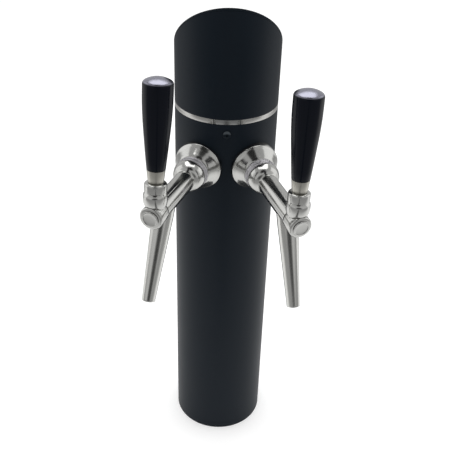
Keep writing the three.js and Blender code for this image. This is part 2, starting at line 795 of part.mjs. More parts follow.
// A swelling grip, rounded over at its top edge into a shallow dome.
function grip(tap) {
  const steep = THREE.MathUtils.degToRad(gripDomeDeg);
  const roundCentre = gripTopRadius - gripRound;
  const domeRound = gripRound + roundCentre / Math.sin(steep);
  const domeCentre = gripStart + gripLength - domeRound;
  const shoulder = domeCentre + (domeRound - gripRound) * Math.cos(steep);
  const side = gripShares.map(([rise, width]) => [
    gripFootRadius + width * (gripTopRadius - gripFootRadius),
    gripStart + rise * (shoulder - gripStart),
  ]);
  const edge = arc(gripRound, Math.PI / 2, steep, gripRoundSteps, [roundCentre, shoulder]);
  const dome = arc(domeRound, steep, 0, gripDomeSteps, [0, domeCentre]);
  const bore = stemRadius + slipPlay;
  const form = turnedUp([
    [bore, gripStart],
    ...side,
    ...edge.slice(1),
    ...dome.slice(1),
    [0, gripBoreEnd],
    [bore, gripBoreEnd],
  ], shownFacets);
  return pieceOf(form, `${tap.side}_grip`, blackGloss);
}

// Tap: valve

function piston(tap) {
  const slotHalf = fingerTipRadius + pistonSlotPlay;
  const headStart = fingerTipStation - pistonHeadBack;
  const headEnd = fingerTipStation + slotHalf + pistonHeadFront;
  const width = 2 * pistonHeadRadius + overrun;
  const slot = new THREE.BoxGeometry(2 * slotHalf, width, width)
    .translate(fingerTipStation, 0, width / 2 - slotHalf);
  const flat = new THREE.BoxGeometry(width + headEnd - headStart, width, width)
    .translate((headStart + headEnd) / 2, 0, width / 2 + pistonTopHeight);
  const stubStart = valveSeatStart - sealLift;
  const rod = rodAlong(stubStart - rodStubLength, stubStart + overrun, rodStubRadius, innerFacets)
    .add(rodAlong(stubStart, headStart + overrun, rodRadius, innerFacets));
  const head = rodAlong(headStart, headEnd, pistonHeadRadius, plainFacets)
    .subtract(solidOf(slot)).subtract(solidOf(flat));
  return pieceOf(rod.add(head), `${tap.side}_piston`, brass);
}

function valveSeal(tap) {
  const front = valveSeatStart - 2 * sealLift;
  const bore = rodAlong(front - sealLength - overrun, front + overrun, rodStubRadius + threadPlay, innerFacets);
  const ring = rodAlong(front - sealLength, front, sealRadius, innerFacets).subtract(bore);
  return pieceOf(ring, `${tap.side}_valve_seal`, blackRubber);
}

function valveNut(tap) {
  const front = valveSeatStart - 3 * sealLift - sealLength;
  const bore = rodAlong(front - valveNutLength - overrun, front + overrun, rodStubRadius + threadPlay, innerFacets);
  const nut = hexAlong(front - valveNutLength, front, valveNutFlats).subtract(bore);
  return pieceOf(nut, `${tap.side}_valve_nut`, brass);
}

// Assembly

function columnGroup() {
  const group = new THREE.Group();
  group.add(columnTube(), basePlate(), ...trimRing(), topCapShell(), topCapLid(), capSpigot(), capLockScrew());
  return group;
}

function tapGroup(tap) {
  const matrix = tapMatrix(tap);
  const group = new THREE.Group();
  group.applyMatrix4(matrix);
  group.add(escutcheon(tap, matrix), shank(tap), saddleWasher(tap, matrix), shankNut(tap));
  group.add(productPipe(tap, matrix), pipeNut(tap), couplingNut(tap));
  group.add(faucetBody(tap), frontCap(tap), spout(tap), bonnetNut(tap), ballWasher(tap));
  group.add(piston(tap), valveSeal(tap), valveNut(tap));
  const handle = new THREE.Group();
  handle.position.set(pivotStation, 0, pivotHeight);
  handle.rotation.y = -restTilt;
  handle.add(lever(tap), leverCollar(tap), ferrule(tap), grip(tap));
  group.add(handle);
  return group;
}

const tower = new THREE.Group();
tower.add(columnGroup(), ...taps.map(tapGroup));

export default tower;
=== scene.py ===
# %% [markdown]
# A beer tower, dressed for a photograph.
# The tower's working pieces are already made and stand in place as a frame. This script gives each
# visible piece its fine surface and finish, and sets up the camera, the floor and the lights.

import json
import math

import bpy
from mathutils import Matrix, Vector


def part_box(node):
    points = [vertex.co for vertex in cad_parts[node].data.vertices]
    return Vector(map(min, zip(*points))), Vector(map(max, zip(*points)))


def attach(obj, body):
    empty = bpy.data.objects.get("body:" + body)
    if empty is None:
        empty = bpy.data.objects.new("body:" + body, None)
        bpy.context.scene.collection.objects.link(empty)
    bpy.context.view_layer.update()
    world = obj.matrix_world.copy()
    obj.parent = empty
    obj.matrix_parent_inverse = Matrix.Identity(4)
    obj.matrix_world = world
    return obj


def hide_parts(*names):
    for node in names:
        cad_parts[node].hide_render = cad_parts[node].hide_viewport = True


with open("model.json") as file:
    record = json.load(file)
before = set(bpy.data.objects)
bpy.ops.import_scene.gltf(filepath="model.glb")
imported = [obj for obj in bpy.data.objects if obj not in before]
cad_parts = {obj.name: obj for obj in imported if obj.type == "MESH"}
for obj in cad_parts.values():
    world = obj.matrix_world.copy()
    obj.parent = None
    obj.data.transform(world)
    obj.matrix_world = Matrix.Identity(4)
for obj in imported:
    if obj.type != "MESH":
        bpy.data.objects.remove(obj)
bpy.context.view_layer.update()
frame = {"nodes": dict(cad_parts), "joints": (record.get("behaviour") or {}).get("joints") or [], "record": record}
MM = 0.001
SIDES = ("left", "right")
QUARTER_TURN = math.radians(90)


def rounded(vector, digits=3):
    return [round(value, digits) for value in vector]


# %% [markdown]
# The camera comes first. It stands three quarters of a metre in front of the column, a little
# higher than that above the floor, and looks down by about 33 degrees. Its place is given in
# column radii, because the column is the piece whose size is known best.

# %% Camera
low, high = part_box("column_tube")
R = (high.x - low.x) / 2
TURN = math.radians(1.5)          # the tower is turned a little to the camera's right
CAMERA_DISTANCE = 13.1128 * R
CAMERA_HEIGHT = 13.5963 * R
CAMERA_YAW = 0.0051
CAMERA_PITCH = 0.5728
CAMERA_ROLL = 0.0316
FOCAL_PIXELS = 726.19
FRAME_PIXELS = 452
SENSOR = 36.0

cos_p, sin_p = math.cos(CAMERA_PITCH), math.sin(CAMERA_PITCH)
forward = Vector((math.sin(CAMERA_YAW) * cos_p, math.cos(CAMERA_YAW) * cos_p, -sin_p))
level = forward.cross(Vector((0, 0, 1))).normalized()
upward = level.cross(forward)
right = level * math.cos(CAMERA_ROLL) + upward * math.sin(CAMERA_ROLL)
top = upward * math.cos(CAMERA_ROLL) - level * math.sin(CAMERA_ROLL)
basis = Matrix((right, top, -forward)).transposed().to_4x4()
place = Matrix.Translation((0, -CAMERA_DISTANCE, CAMERA_HEIGHT)) @ basis

camera_data = bpy.data.cameras.new("camera")
camera_data.sensor_width = SENSOR
camera_data.lens = FOCAL_PIXELS / FRAME_PIXELS * SENSOR
camera = bpy.data.objects.new("camera", camera_data)
bpy.context.scene.collection.objects.link(camera)
camera.matrix_world = Matrix.Rotation(-TURN, 4, "Z") @ place
bpy.context.scene.camera = camera
print("camera at", rounded(camera.matrix_world.translation), "lens", round(camera_data.lens, 2))

# %% [markdown]
# Each tap has its own frame: x runs out along the tap from the column's surface, z runs up through
# the bonnet. The frame's joints already know these directions, so they are read from there: the
# handle's hinge gives the sideways axis and the ball's place, and the valve's slide gives x.

# %% Tap frames
PIVOT_STATION = 105.3 * MM
PIVOT_HEIGHT = 15.4 * MM
REST_TILT = math.radians(8.6)     # how far the handle leans back at rest
joints = {joint["name"]: joint for joint in frame["joints"]}


def tap_frame(side):
    """The origin and the three axes of one tap, as a matrix."""
    hinge = joints[side + "_handle_pull"]
    slide = joints[side + "_valve_slide"]
    x_axis = -Vector(slide["axis"]).normalized()
    y_axis = Vector(hinge["axis"]).normalized()
    z_axis = x_axis.cross(y_axis)
    origin = Vector(hinge["pos_m"]) - x_axis * PIVOT_STATION - z_axis * PIVOT_HEIGHT
    return Matrix.Translation(origin) @ Matrix((x_axis, y_axis, z_axis)).transposed().to_4x4()


TAP = {side: tap_frame(side) for side in SIDES}
ALONG = Matrix.Rotation(QUARTER_TURN, 4, "Y")
BALL = Matrix.Translation((PIVOT_STATION, 0, PIVOT_HEIGHT))
LEAN_BACK = Matrix.Rotation(-REST_TILT, 4, "Y")
TAP_AXIS = {side: TAP[side] @ ALONG for side in SIDES}
BONNET = {side: TAP[side] @ BALL for side in SIDES}
HANDLE = {side: BONNET[side] @ LEAN_BACK for side in SIDES}
for side in SIDES:
    print(side, "tap starts at", rounded(TAP[side].translation / MM, 1), "mm")

# %% [markdown]
# Every finish is a small node tree: a base colour, and noise on the piece's own coordinates that
# moves the roughness and the surface a little, as polishing marks, brushing or the fine orange
# peel of a powder coat do. The next cell has the helpers that the finishes share. Its last one
# joins math nodes, and the floor and the world use it too.


# %% Material helpers
def new_material(name, colour, metallic, roughness):
    material = bpy.data.materials.new(name)
    material.use_nodes = True
    shader = material.node_tree.nodes["Principled BSDF"]
    shader.inputs["Base Color"].default_value = (*colour, 1)
    shader.inputs["Metallic"].default_value = metallic
    shader.inputs["Roughness"].default_value = roughness
    return material, shader


def add_noise(material, size, stretch=(1, 1, 1), detail=3.0):
    """A noise whose grain is `size` millimetres, finer along an axis with a larger stretch."""
    nodes, links = material.node_tree.nodes, material.node_tree.links
    coords = nodes.new("ShaderNodeTexCoord")
    mapping = nodes.new("ShaderNodeMapping")
    mapping.inputs["Scale"].default_value = [s / (size * MM) for s in stretch]
    noise = nodes.new("ShaderNodeTexNoise")
    noise.inputs["Scale"].default_value = 1.0
    noise.inputs["Detail"].default_value = detail
    links.new(coords.outputs["Object"], mapping.inputs["Vector"])
    links.new(mapping.outputs["Vector"], noise.inputs["Vector"])
    return noise.outputs["Fac"]


def vary(material, amount, target, low_value, high_value):
    """Moves a shader input between two values, by an amount from 0 to 1."""
    nodes, links = material.node_tree.nodes, material.node_tree.links
    spread = nodes.new("ShaderNodeMapRange")
    spread.inputs["To Min"].default_value = low_value
    spread.inputs["To Max"].default_value = high_value
    links.new(amount, spread.inputs["Value"])
    links.new(spread.outputs["Result"], target)


def tint(material, amount, target, first, second):
    """Mixes two colours, by an amount from 0 to 1."""
    nodes, links = material.node_tree.nodes, material.node_tree.links
    mix = nodes.new("ShaderNodeMix")
    mix.data_type = "RGBA"
    mix.inputs["A"].default_value = (*first, 1)
    mix.inputs["B"].default_value = (*second, 1)
    links.new(amount, mix.inputs["Factor"])
    links.new(mix.outputs["Result"], target)


def relief(material, amount, shader, strength, depth):
    """Raises the surface by the amount, `depth` millimetres at most."""
    nodes, links = material.node_tree.nodes, material.node_tree.links
    bump = nodes.new("ShaderNodeBump")
    bump.inputs["Strength"].default_value = strength
    bump.inputs["Distance"].default_value = depth * MM
    links.new(amount, bump.inputs["Height"])
    links.new(bump.outputs["Normal"], shader.inputs["Normal"])


class Sums:
    """Joins math nodes of one tree, so that a sum of node values reads like a sum."""

    def __init__(self, tree):
        self.nodes, self.links = tree.nodes, tree.links

    def of(self, operation, first, second=0.0):
        """One math node on two values, each a number or the output of another node."""
        node = self.nodes.new("ShaderNodeMath")
        node.operation = operation
        for socket, value in zip(node.inputs, (first, second)):
            if isinstance(value, float):
                socket.default_value = value
            else:
                self.links.new(value, socket)
        return node.outputs[0]

    def graded(self, value, start, end, low_value, high_value):
        """A soft step of the value between two places."""
        node = self.nodes.new("ShaderNodeMapRange")
        node.interpolation_type = "SMOOTHSTEP"
        node.inputs["From Min"].default_value = start
        node.inputs["From Max"].default_value = end
        node.inputs["To Min"].default_value = low_value
        node.inputs["To Max"].default_value = high_value
        self.links.new(value, node.inputs["Value"])
        return node.outputs["Result"]

    def parts(self, coordinate):
        """The x, y and z of a texture coordinate."""
        coords = self.nodes.new("ShaderNodeTexCoord")
        split = self.nodes.new("ShaderNodeSeparateXYZ")
        self.links.new(coords.outputs[coordinate], split.inputs[0])
        return split.outputs


# %% [markdown]
# The column and its cap have a satin black coat with a cold tone. It is nearly black face on and
# turns grey towards the sides, so its specular level is low and its roughness is middling. A large
# soft cloud moves its colour and roughness a little, and a fine grain gives the orange peel.

# %% Powder coat
COAT_BLACK = (0.0035, 0.0078, 0.0125)
COAT_DARK, COAT_LIGHT = (0.003, 0.0066, 0.0112), (0.004, 0.0078, 0.0128)
COAT_SPECULAR = 0.115
COAT_ROUGHNESS, ROUGH_FROM, ROUGH_TO = 0.45, 0.43, 0.48
CLOUD_SIZE = 60
PEEL_SIZE, PEEL_STRENGTH, PEEL_DEPTH = 0.9, 0.06, 0.05


def powder_coat():
    material, shader = new_material("satin_powder_coat", COAT_BLACK, 0.0, COAT_ROUGHNESS)
    shader.inputs["Specular IOR Level"].default_value = COAT_SPECULAR
    cloud = add_noise(material, CLOUD_SIZE)
    peel = add_noise(material, PEEL_SIZE, detail=2.0)
    tint(material, cloud, shader.inputs["Base Color"], COAT_DARK, COAT_LIGHT)
    vary(material, cloud, shader.inputs["Roughness"], ROUGH_FROM, ROUGH_TO)
    relief(material, peel, shader, PEEL_STRENGTH, PEEL_DEPTH)
    return material


# %% [markdown]
# The bright metals differ by colour, roughness and the direction of their marks. Polished pieces
# have a faint haze, turned pieces have fine marks around them, and the spouts are brushed along.

# %% Metals
SMEAR_SIZE = 14
MARK_SHADE = 0.92
MARK_DEPTH = 0.02


def metal(name, colour, roughness, spread, mark_size, stretch, strength):
    material, shader = new_material(name, colour, 1.0, roughness)
    marks = add_noise(material, mark_size, stretch)
    smear = add_noise(material, SMEAR_SIZE)
    vary(material, smear, shader.inputs["Roughness"], roughness - spread, roughness + spread)
    tint(material, marks, shader.inputs["Base Color"], [c * MARK_SHADE for c in colour], colour)
    relief(material, marks, shader, strength, MARK_DEPTH)
    return material


# %% [markdown]
# The grips are moulded in gloss black; where their dome faces up it is grey metal, a painted sheen.
# The lock screw under the band is as black as the column, with a painted highlight in grey on its
# upper side. The plastic and rubber pieces inside the taps are dull.

# %% Plastics and the screw
GRIP_BLACK = (0.002, 0.003, 0.006)
GRIP_SPECULAR = 0.12
GRIP_ROUGHNESS, SMEAR_HAZE, DOME_HAZE = 0.15, 0.05, 0.1
GRIP_SMEAR_SIZE = 12
# the dome's grey metal is a painted sheen on the faces that point up
DOME_SHEEN_GREY = (0.25, 0.25, 0.30)
DOME_FROM, DOME_TO = 0.4, 0.76
# the grey on the screw's upper half is a painted highlight
SCREW_HIGHLIGHT_GREY = (0.05, 0.06, 0.068)
HIGHLIGHT_FROM, HIGHLIGHT_TO = 0.1, 0.35
DULL_SIZE, DULL_SHADE, DULL_SPREAD = 3, 0.8, 0.05

screw_low, screw_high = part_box("cap_lock_screw")
SCREW_HEIGHT = (screw_low.z + screw_high.z) / 2


def gloss_black():
    """Low gloss down the side; where the domed top faces up it is a dark, hazy grey mirror, a painted sheen."""
    material, shader = new_material("gloss_black_grip", GRIP_BLACK, 0.0, GRIP_ROUGHNESS)
    shader.inputs["Specular IOR Level"].default_value = GRIP_SPECULAR
    sums = Sums(material.node_tree)
    # where the dome faces up it turns to grey metal, a painted sheen
    painted_dome_sheen = sums.graded(sums.parts("Normal")["Z"], DOME_FROM, DOME_TO, 0.0, 1.0)
    sums.links.new(painted_dome_sheen, shader.inputs["Metallic"])
    smear = sums.of("MULTIPLY", add_noise(material, GRIP_SMEAR_SIZE), SMEAR_HAZE)
    haze = sums.of("ADD", smear, sums.of("MULTIPLY", painted_dome_sheen, DOME_HAZE))
    sums.links.new(sums.of("ADD", haze, GRIP_ROUGHNESS), shader.inputs["Roughness"])
    tint(material, painted_dome_sheen, shader.inputs["Base Color"], GRIP_BLACK, DOME_SHEEN_GREY)
    return material


def black_with_painted_highlight():
    """A painted highlight in grey lies on the upper half of the screw, where its dome faces up."""
    material, shader = new_material("blackened_screw", COAT_BLACK, 0.0, COAT_ROUGHNESS)
    shader.inputs["Specular IOR Level"].default_value = COAT_SPECULAR
    sums = Sums(material.node_tree)
    faces_up = sums.graded(sums.parts("Normal")["Z"], HIGHLIGHT_FROM, HIGHLIGHT_TO, 0.0, 1.0)
    is_high = sums.graded(sums.parts("Object")["Z"], SCREW_HEIGHT, SCREW_HEIGHT + MM, 0.0, 1.0)
    # the upper half, where the dome faces up, gets a painted highlight in grey
    painted_highlight = sums.of("MULTIPLY", faces_up, is_high)
    tint(material, painted_highlight, shader.inputs["Base Color"], COAT_BLACK, SCREW_HIGHLIGHT_GREY)
    return material


def dull(name, colour, roughness):
    material, shader = new_material(name, colour, 0.0, roughness)
    cloud = add_noise(material, DULL_SIZE)
    tint(material, cloud, shader.inputs["Base Color"], [c * DULL_SHADE for c in colour], colour)
    vary(material, cloud, shader.inputs["Roughness"], roughness - DULL_SPREAD, roughness + DULL_SPREAD)
    return material


# %% [markdown]
# The record gives each piece a slot, and each slot has one finish. A metal is given by its name,
# colour and roughness, by how far the roughness spreads, and by the size, stretch and strength of
# its marks.

# %% Finishes by slot
FINISH = {
    "black_coat": powder_coat(),
    "screw_black": black_with_painted_highlight(),
    "trim_steel": metal("trim_band_steel", (0.42, 0.415, 0.40), 0.22, 0.04, 2, (0.2, 0.2, 6), 0.1),
    "insert_steel": metal("dark_band_steel", (0.28, 0.285, 0.28), 0.20, 0.03, 2, (0.2, 0.2, 6), 0.05),
    "satin_steel": metal("satin_steel", (0.55, 0.55, 0.53), 0.34, 0.05, 2, (1, 1, 5), 0.1),
    "spout_steel": metal("spout_steel", (0.54, 0.54, 0.52), 0.17, 0.03, 3, (4, 4, 0.4), 0.05),
    "ferrule_steel": metal("ferrule_steel", (0.43, 0.42, 0.38), 0.32, 0.04, 1, (1, 1, 4), 0.08),
    "knurled_steel": metal("knurled_steel", (0.84, 0.83, 0.85), 0.42, 0.05, 1, (1, 1, 1), 0.08),
    "polished": metal("polished_steel", (0.47, 0.47, 0.455), 0.16, 0.02, 5, (1, 1, 1), 0.03),
    "brass": metal("turned_brass", (0.60, 0.45, 0.20), 0.3, 0.05, 2, (1, 1, 5), 0.1),
    "white_plastic": dull("natural_plastic", (0.80, 0.78, 0.72), 0.5),
    "black_rubber": dull("moulded_rubber", (0.02, 0.02, 0.02), 0.75),
    "black_gloss": gloss_black(),
}
print("finishes:", ", ".join(sorted(FINISH)))

# %% [markdown]
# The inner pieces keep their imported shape, and take their finish from the record's slots.

# %% Finish for every carried piece
for row in frame["record"]["subparts"]:
    node = frame["nodes"][row["node"]]
    node.data.materials.clear()
    node.data.materials.append(FINISH[row["material_slot"]])

# %% [markdown]
# Most of the tower is turned on a lathe: tube, collars, bonnet, ferrule, grip. Here a turned piece
# starts as one circle, which is extruded and scaled ring by ring, as its profile asks. A solid
# piece's circle is filled first. A hollow one's last ring is bridged to its first at the end.
# A bevel modifier breaks the sharp edges, because a real edge always catches some light.

# %% Turned pieces
CREASE = 28                       # edges that turn by more degrees than this are sharp
EDGE_STEPS = 3


def pick(piece=None):
    """Leaves edit mode and selects one piece alone, or nothing."""
    if bpy.context.object and bpy.context.object.mode != "OBJECT":
        bpy.ops.object.mode_set(mode="OBJECT")
    bpy.ops.object.select_all(action="DESELECT")
    if piece:
        piece.select_set(True)
        bpy.context.view_layer.objects.active = piece


def smooth(piece, angle=CREASE):
    pick(piece)
    bpy.ops.object.shade_smooth_by_angle(angle=math.radians(angle))


def break_edges(piece, width, angle=CREASE):
    pick(piece)
    bevel = piece.modifiers.new("edge", "BEVEL")
    bevel.width = width * MM
    bevel.segments = EDGE_STEPS
    bevel.limit_method = "ANGLE"
    bevel.angle_limit = math.radians(angle)
    bpy.ops.object.modifier_apply(modifier=bevel.name)
    bpy.ops.object.shade_smooth_by_angle(angle=math.radians(angle))


def turned(name, rings, hollow=False, segments=96, edge=0.3, angle=CREASE):
    """Rings are (radius, height) in millimetres, from the bottom up and, if hollow, down the bore."""
    pick()
    radius, height = rings[0]
    bpy.ops.mesh.primitive_circle_add(vertices=segments, radius=radius * MM, fill_type="NOTHING")
    piece = bpy.context.object
    piece.name = piece.data.name = name
    bpy.ops.object.mode_set(mode="EDIT")
    bpy.ops.mesh.select_all(action="SELECT")
    bpy.ops.transform.translate(value=(0, 0, height * MM))
    if not hollow:
        bpy.ops.mesh.edge_face_add()
        bpy.ops.mesh.select_all(action="SELECT")
    extrude = bpy.ops.mesh.extrude_edges_move if hollow else bpy.ops.mesh.extrude_region_move
    for next_radius, next_height in rings[1:]:
        extrude(TRANSFORM_OT_translate={"value": (0, 0, (next_height - height) * MM)})
        ratio = next_radius / radius
        bpy.ops.transform.resize(value=(ratio, ratio, 1))
        radius, height = next_radius, next_height
    if hollow:
        bpy.ops.mesh.select_all(action="DESELECT")
        bpy.ops.mesh.select_mode(type="EDGE")
        bpy.ops.mesh.select_non_manifold()
        bpy.ops.mesh.bridge_edge_loops()
    bpy.ops.mesh.select_all(action="SELECT")
    bpy.ops.mesh.normals_make_consistent(inside=False)
    bpy.ops.object.mode_set(mode="OBJECT")
    if edge:
        break_edges(piece, edge, angle)
    return piece


# %% [markdown]
# A few more helpers: one joins or cuts pieces with a boolean modifier, one makes a plain bar to do
# that with, one moves a piece to its place, and the last two put a fine piece in place of the
# imported node that it stands for, which they hide.


# %% Helpers for joining and placing
def combine(piece, tool, operation):
    """Joins a tool to a piece or cuts it away, and deletes the tool."""
    pick(piece)
    step = piece.modifiers.new("combine", "BOOLEAN")
    step.operation = operation
    step.solver = "EXACT"
    step.object = tool
    bpy.ops.object.modifier_apply(modifier=step.name)
    bpy.data.objects.remove(tool)


def rod(radius, start, end, segments=64):
    """A plain round bar between two heights, in millimetres."""
    pick()
    bpy.ops.mesh.primitive_cylinder_add(vertices=segments, radius=radius * MM,
                                        depth=(end - start) * MM,
                                        location=(0, 0, (start + end) / 2 * MM))
    return bpy.context.object


def put(piece, matrix):
    """Moves a piece to its place and leaves its object at the origin, unturned and unscaled."""
    pick(piece)
    piece.matrix_world = matrix @ piece.matrix_world
    bpy.ops.object.transform_apply(location=True, rotation=True, scale=True)
    return piece


def finish_piece(piece, node, slot, body="root"):
    """Gives a piece its finish and its body, and hides the node that it stands for."""
    piece.data.materials.clear()
    piece.data.materials.append(FINISH[slot])
    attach(piece, body)
    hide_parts(node)


def dress_taps(model, part, slot, frames, body="root"):
    """Copies one model to both taps, in place of the node that it stands for."""
    for side in SIDES:
        twin = model.copy()
        twin.data = model.data.copy()
        twin.name = twin.data.name = side + "_" + part + "_fine"
        bpy.context.scene.collection.objects.link(twin)
        put(twin, frames[side])
        finish_piece(twin, side + "_" + part, slot, body if body == "root" else side + "_" + body)
    bpy.data.objects.remove(model)
    print(part, "dressed on both taps")


# %% [markdown]
# The column is a plain black tube. Its shank holes are hidden under the flanges, so the fine tube
# has none. Near each end it has one ring more than its shape needs: without it, the small rounded
# edge there would tilt the shading of the whole long side.

# %% Column tube
COLUMN_RADIUS = R / MM
COLUMN_TOP = high.z / MM
COLUMN_SEGMENTS = 192
WALL = 2.5
HOLD = 1.5                        # from an edge to the ring that holds the shading
tube = turned("column_tube_fine", [
    (COLUMN_RADIUS - WALL, 0), (COLUMN_RADIUS, 0),
    (COLUMN_RADIUS, HOLD), (COLUMN_RADIUS, COLUMN_TOP - HOLD),
    (COLUMN_RADIUS, COLUMN_TOP), (COLUMN_RADIUS - WALL, COLUMN_TOP),
], hollow=True, segments=COLUMN_SEGMENTS, edge=0.35)
finish_piece(tube, "column_tube", "black_coat")
print("column:", round(2 * COLUMN_RADIUS), "mm across,", round(COLUMN_TOP, 1), "mm tall")

# %% [markdown]
# Above it sits the bright band. A short piece at the front is a separate one, and the two thin
# joints beside it read as dark lines. Each piece is an arc, so it is made by the spin tool: a
# small upright rectangle, the band's section, is swept round the column's axis.

# %% Trim band and its insert
BAND_LOW, BAND_HIGH = (corner.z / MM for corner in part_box("trim_ring"))
INSERT_HALF = math.radians(14.4)
JOINT_HALF = 0.45 / COLUMN_RADIUS


def band_arc(name, start, sweep):
    """An arc of the band. It starts at an angle from the front and runs on clockwise from there."""
    pick()
    bpy.ops.mesh.primitive_plane_add(size=1)
    band = bpy.context.object
    band.name = band.data.name = name
    bpy.ops.object.mode_set(mode="EDIT")
    bpy.ops.mesh.select_all(action="SELECT")
    bpy.ops.transform.resize(value=(WALL * MM, (BAND_HIGH - BAND_LOW) * MM, 1))
    bpy.ops.object.mode_set(mode="OBJECT")
    upright = Matrix.Rotation(QUARTER_TURN, 4, "X")
    middle = Matrix.Translation(((COLUMN_RADIUS - WALL / 2) * MM, 0, (BAND_LOW + BAND_HIGH) / 2 * MM))
    put(band, Matrix.Rotation(start - QUARTER_TURN, 4, "Z") @ middle @ upright)
    bpy.ops.object.mode_set(mode="EDIT")
    bpy.ops.mesh.select_all(action="SELECT")
    steps = max(8, round(COLUMN_SEGMENTS * sweep / (2 * math.pi)))
    bpy.ops.mesh.spin(steps=steps, angle=sweep, center=(0, 0, 0), axis=(0, 0, 1))
    # where the spin has left an end open, that end is filled
    bpy.ops.mesh.select_mode(type="EDGE")
    bpy.ops.mesh.select_all(action="DESELECT")
    bpy.ops.mesh.select_non_manifold()
    bpy.ops.object.mode_set(mode="OBJECT")
    has_open_end = any(edge.select for edge in band.data.edges)
    bpy.ops.object.mode_set(mode="EDIT")
    if has_open_end:
        bpy.ops.mesh.edge_face_add()
    bpy.ops.mesh.select_all(action="SELECT")
    bpy.ops.mesh.normals_make_consistent(inside=False)
    bpy.ops.object.mode_set(mode="OBJECT")
    break_edges(band, 0.25)
    return band


insert_reach = INSERT_HALF - JOINT_HALF
ring_reach = INSERT_HALF + JOINT_HALF
trim = band_arc("trim_ring_fine", -ring_reach, 2 * (math.pi - ring_reach))
finish_piece(trim, "trim_ring", "trim_steel")
insert = band_arc("trim_ring_insert_fine", insert_reach, 2 * insert_reach)
finish_piece(insert, "trim_ring_insert", "insert_steel")
print("band:", round(BAND_HIGH - BAND_LOW, 1), "mm high,", len(trim.data.polygons), "faces")

# %% [markdown]
# The cap is the same tube, bisected on a slant so that it is high at the front. The lid lies in
# the slanted cut. Bisect cuts the mesh with a plane, clears one side and fills the hole. A second
# cut a little lower clears nothing and only adds the ring that holds the shading.

# %% Cap shell and lid
CUT_SLOPE = math.radians(43.2)
CUT_NORMAL = Vector((0, math.sin(CUT_SLOPE), math.cos(CUT_SLOPE)))
FRONT_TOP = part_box("top_cap_lid")[1].z / MM
LID = 2
LID_SEAT = 0.15
ABOVE = FRONT_TOP + COLUMN_RADIUS


def cut_slanted(piece, drop, clear_above, hold=0):
    """Cuts `drop` millimetres under the slanted top and clears what is above or below the cut."""
    pick(piece)
    bpy.ops.object.mode_set(mode="EDIT")
    bpy.ops.mesh.select_all(action="SELECT")
    point = (Vector((0, -COLUMN_RADIUS, FRONT_TOP)) - CUT_NORMAL * drop) * MM
    bpy.ops.mesh.bisect(plane_co=point, plane_no=CUT_NORMAL, use_fill=True,
                        clear_outer=clear_above, clear_inner=not clear_above)
    if hold:
        bpy.ops.mesh.select_all(action="SELECT")
        bpy.ops.mesh.bisect(plane_co=point - CUT_NORMAL * hold * MM, plane_no=CUT_NORMAL)
    bpy.ops.object.mode_set(mode="OBJECT")


shell = turned("top_cap_shell_fine", [
    (COLUMN_RADIUS - WALL, BAND_HIGH), (COLUMN_RADIUS, BAND_HIGH),
    (COLUMN_RADIUS, BAND_HIGH + HOLD), (COLUMN_RADIUS, ABOVE),
    (COLUMN_RADIUS - WALL, ABOVE),
], hollow=True, segments=COLUMN_SEGMENTS, edge=0)
cut_slanted(shell, LID + LID_SEAT, True, HOLD)
break_edges(shell, 0.3)
finish_piece(shell, "top_cap_shell", "black_coat")

lid = turned("top_cap_lid_fine", [(COLUMN_RADIUS, BAND_HIGH), (COLUMN_RADIUS, ABOVE)],
             segments=COLUMN_SEGMENTS, edge=0)
cut_slanted(lid, 0, True)
cut_slanted(lid, LID, False)
break_edges(lid, 0.5)
finish_piece(lid, "top_cap_lid", "black_coat")
print("cap front edge at", round(FRONT_TOP, 1), "mm")

# %% [markdown]
# The lock screw under the band has a low dome and a six-sided socket.

# %% Cap lock screw
SCREW_DOME = 2.5
SOCKET_RADIUS, SOCKET_FLOOR = 1.4, 1.2
screw = turned("cap_lock_screw_fine", [
    (2, -9), (2, 0.1), (4.2, 0.1), (4.2, 0.9), (3.95, 1.4), (3.4, 1.9), (2.5, 2.3), (1.7, SCREW_DOME),
], segments=64, edge=0.1)
combine(screw, rod(SOCKET_RADIUS, SOCKET_FLOOR, SCREW_DOME + 1, segments=6), "DIFFERENCE")
face_forward = Matrix.Rotation(QUARTER_TURN, 4, "X")
put(screw, Matrix.Translation((0, -R, SCREW_HEIGHT)) @ face_forward)
smooth(screw)
finish_piece(screw, "cap_lock_screw", "screw_black")
print("lock screw at", round(SCREW_HEIGHT / MM, 1), "mm")

# %% [markdown]
# The flange against the column is a cone whose back is cut to the column's round, with a cylinder
# a little wider than the column. Each tap has its own aim, so the two backs differ slightly.

# %% Flanges
FLANGE_RADIUS = 26.6
FLANGE_GAP = 0.3
FLANGE_PROFILE = [
    (11.3, -16), (FLANGE_RADIUS, -16), (FLANGE_RADIUS, 3.6), (26.2, 4.3), (25.5, 4.75),
    (23.4, 7.6), (21.3, 10.5), (19.4, 13.2), (17.9, 15.6), (17.4, 16), (11.3, 16),
]
for side in SIDES:
    flange = turned(side + "_escutcheon_fine", FLANGE_PROFILE, hollow=True, segments=128)
    put(flange, TAP_AXIS[side])
    column_round = rod(COLUMN_RADIUS + FLANGE_GAP, 0, COLUMN_TOP, segments=COLUMN_SEGMENTS)
    combine(flange, column_round, "DIFFERENCE")
    smooth(flange)
    finish_piece(flange, side + "_escutcheon", "polished")
print("flanges:", round(2 * FLANGE_RADIUS, 1), "mm across")

# %% [markdown]
# The coupling ring has a fine straight knurl. Every second face of its middle belt is inset and
# pushed in, which gives ridges all round. Its front is cut under a little beside the rim, and the
# cut draws a thin dark line against the tap body.

# %% Coupling ring
COUPLING_RADIUS = 17.6
BELT_LOW, BELT_HIGH = 18.3, 22.4
RIDGES = 56
GROOVE_RIM, GROOVE_DEPTH = 0.12, 0.3
NEAR = 0.3 * MM

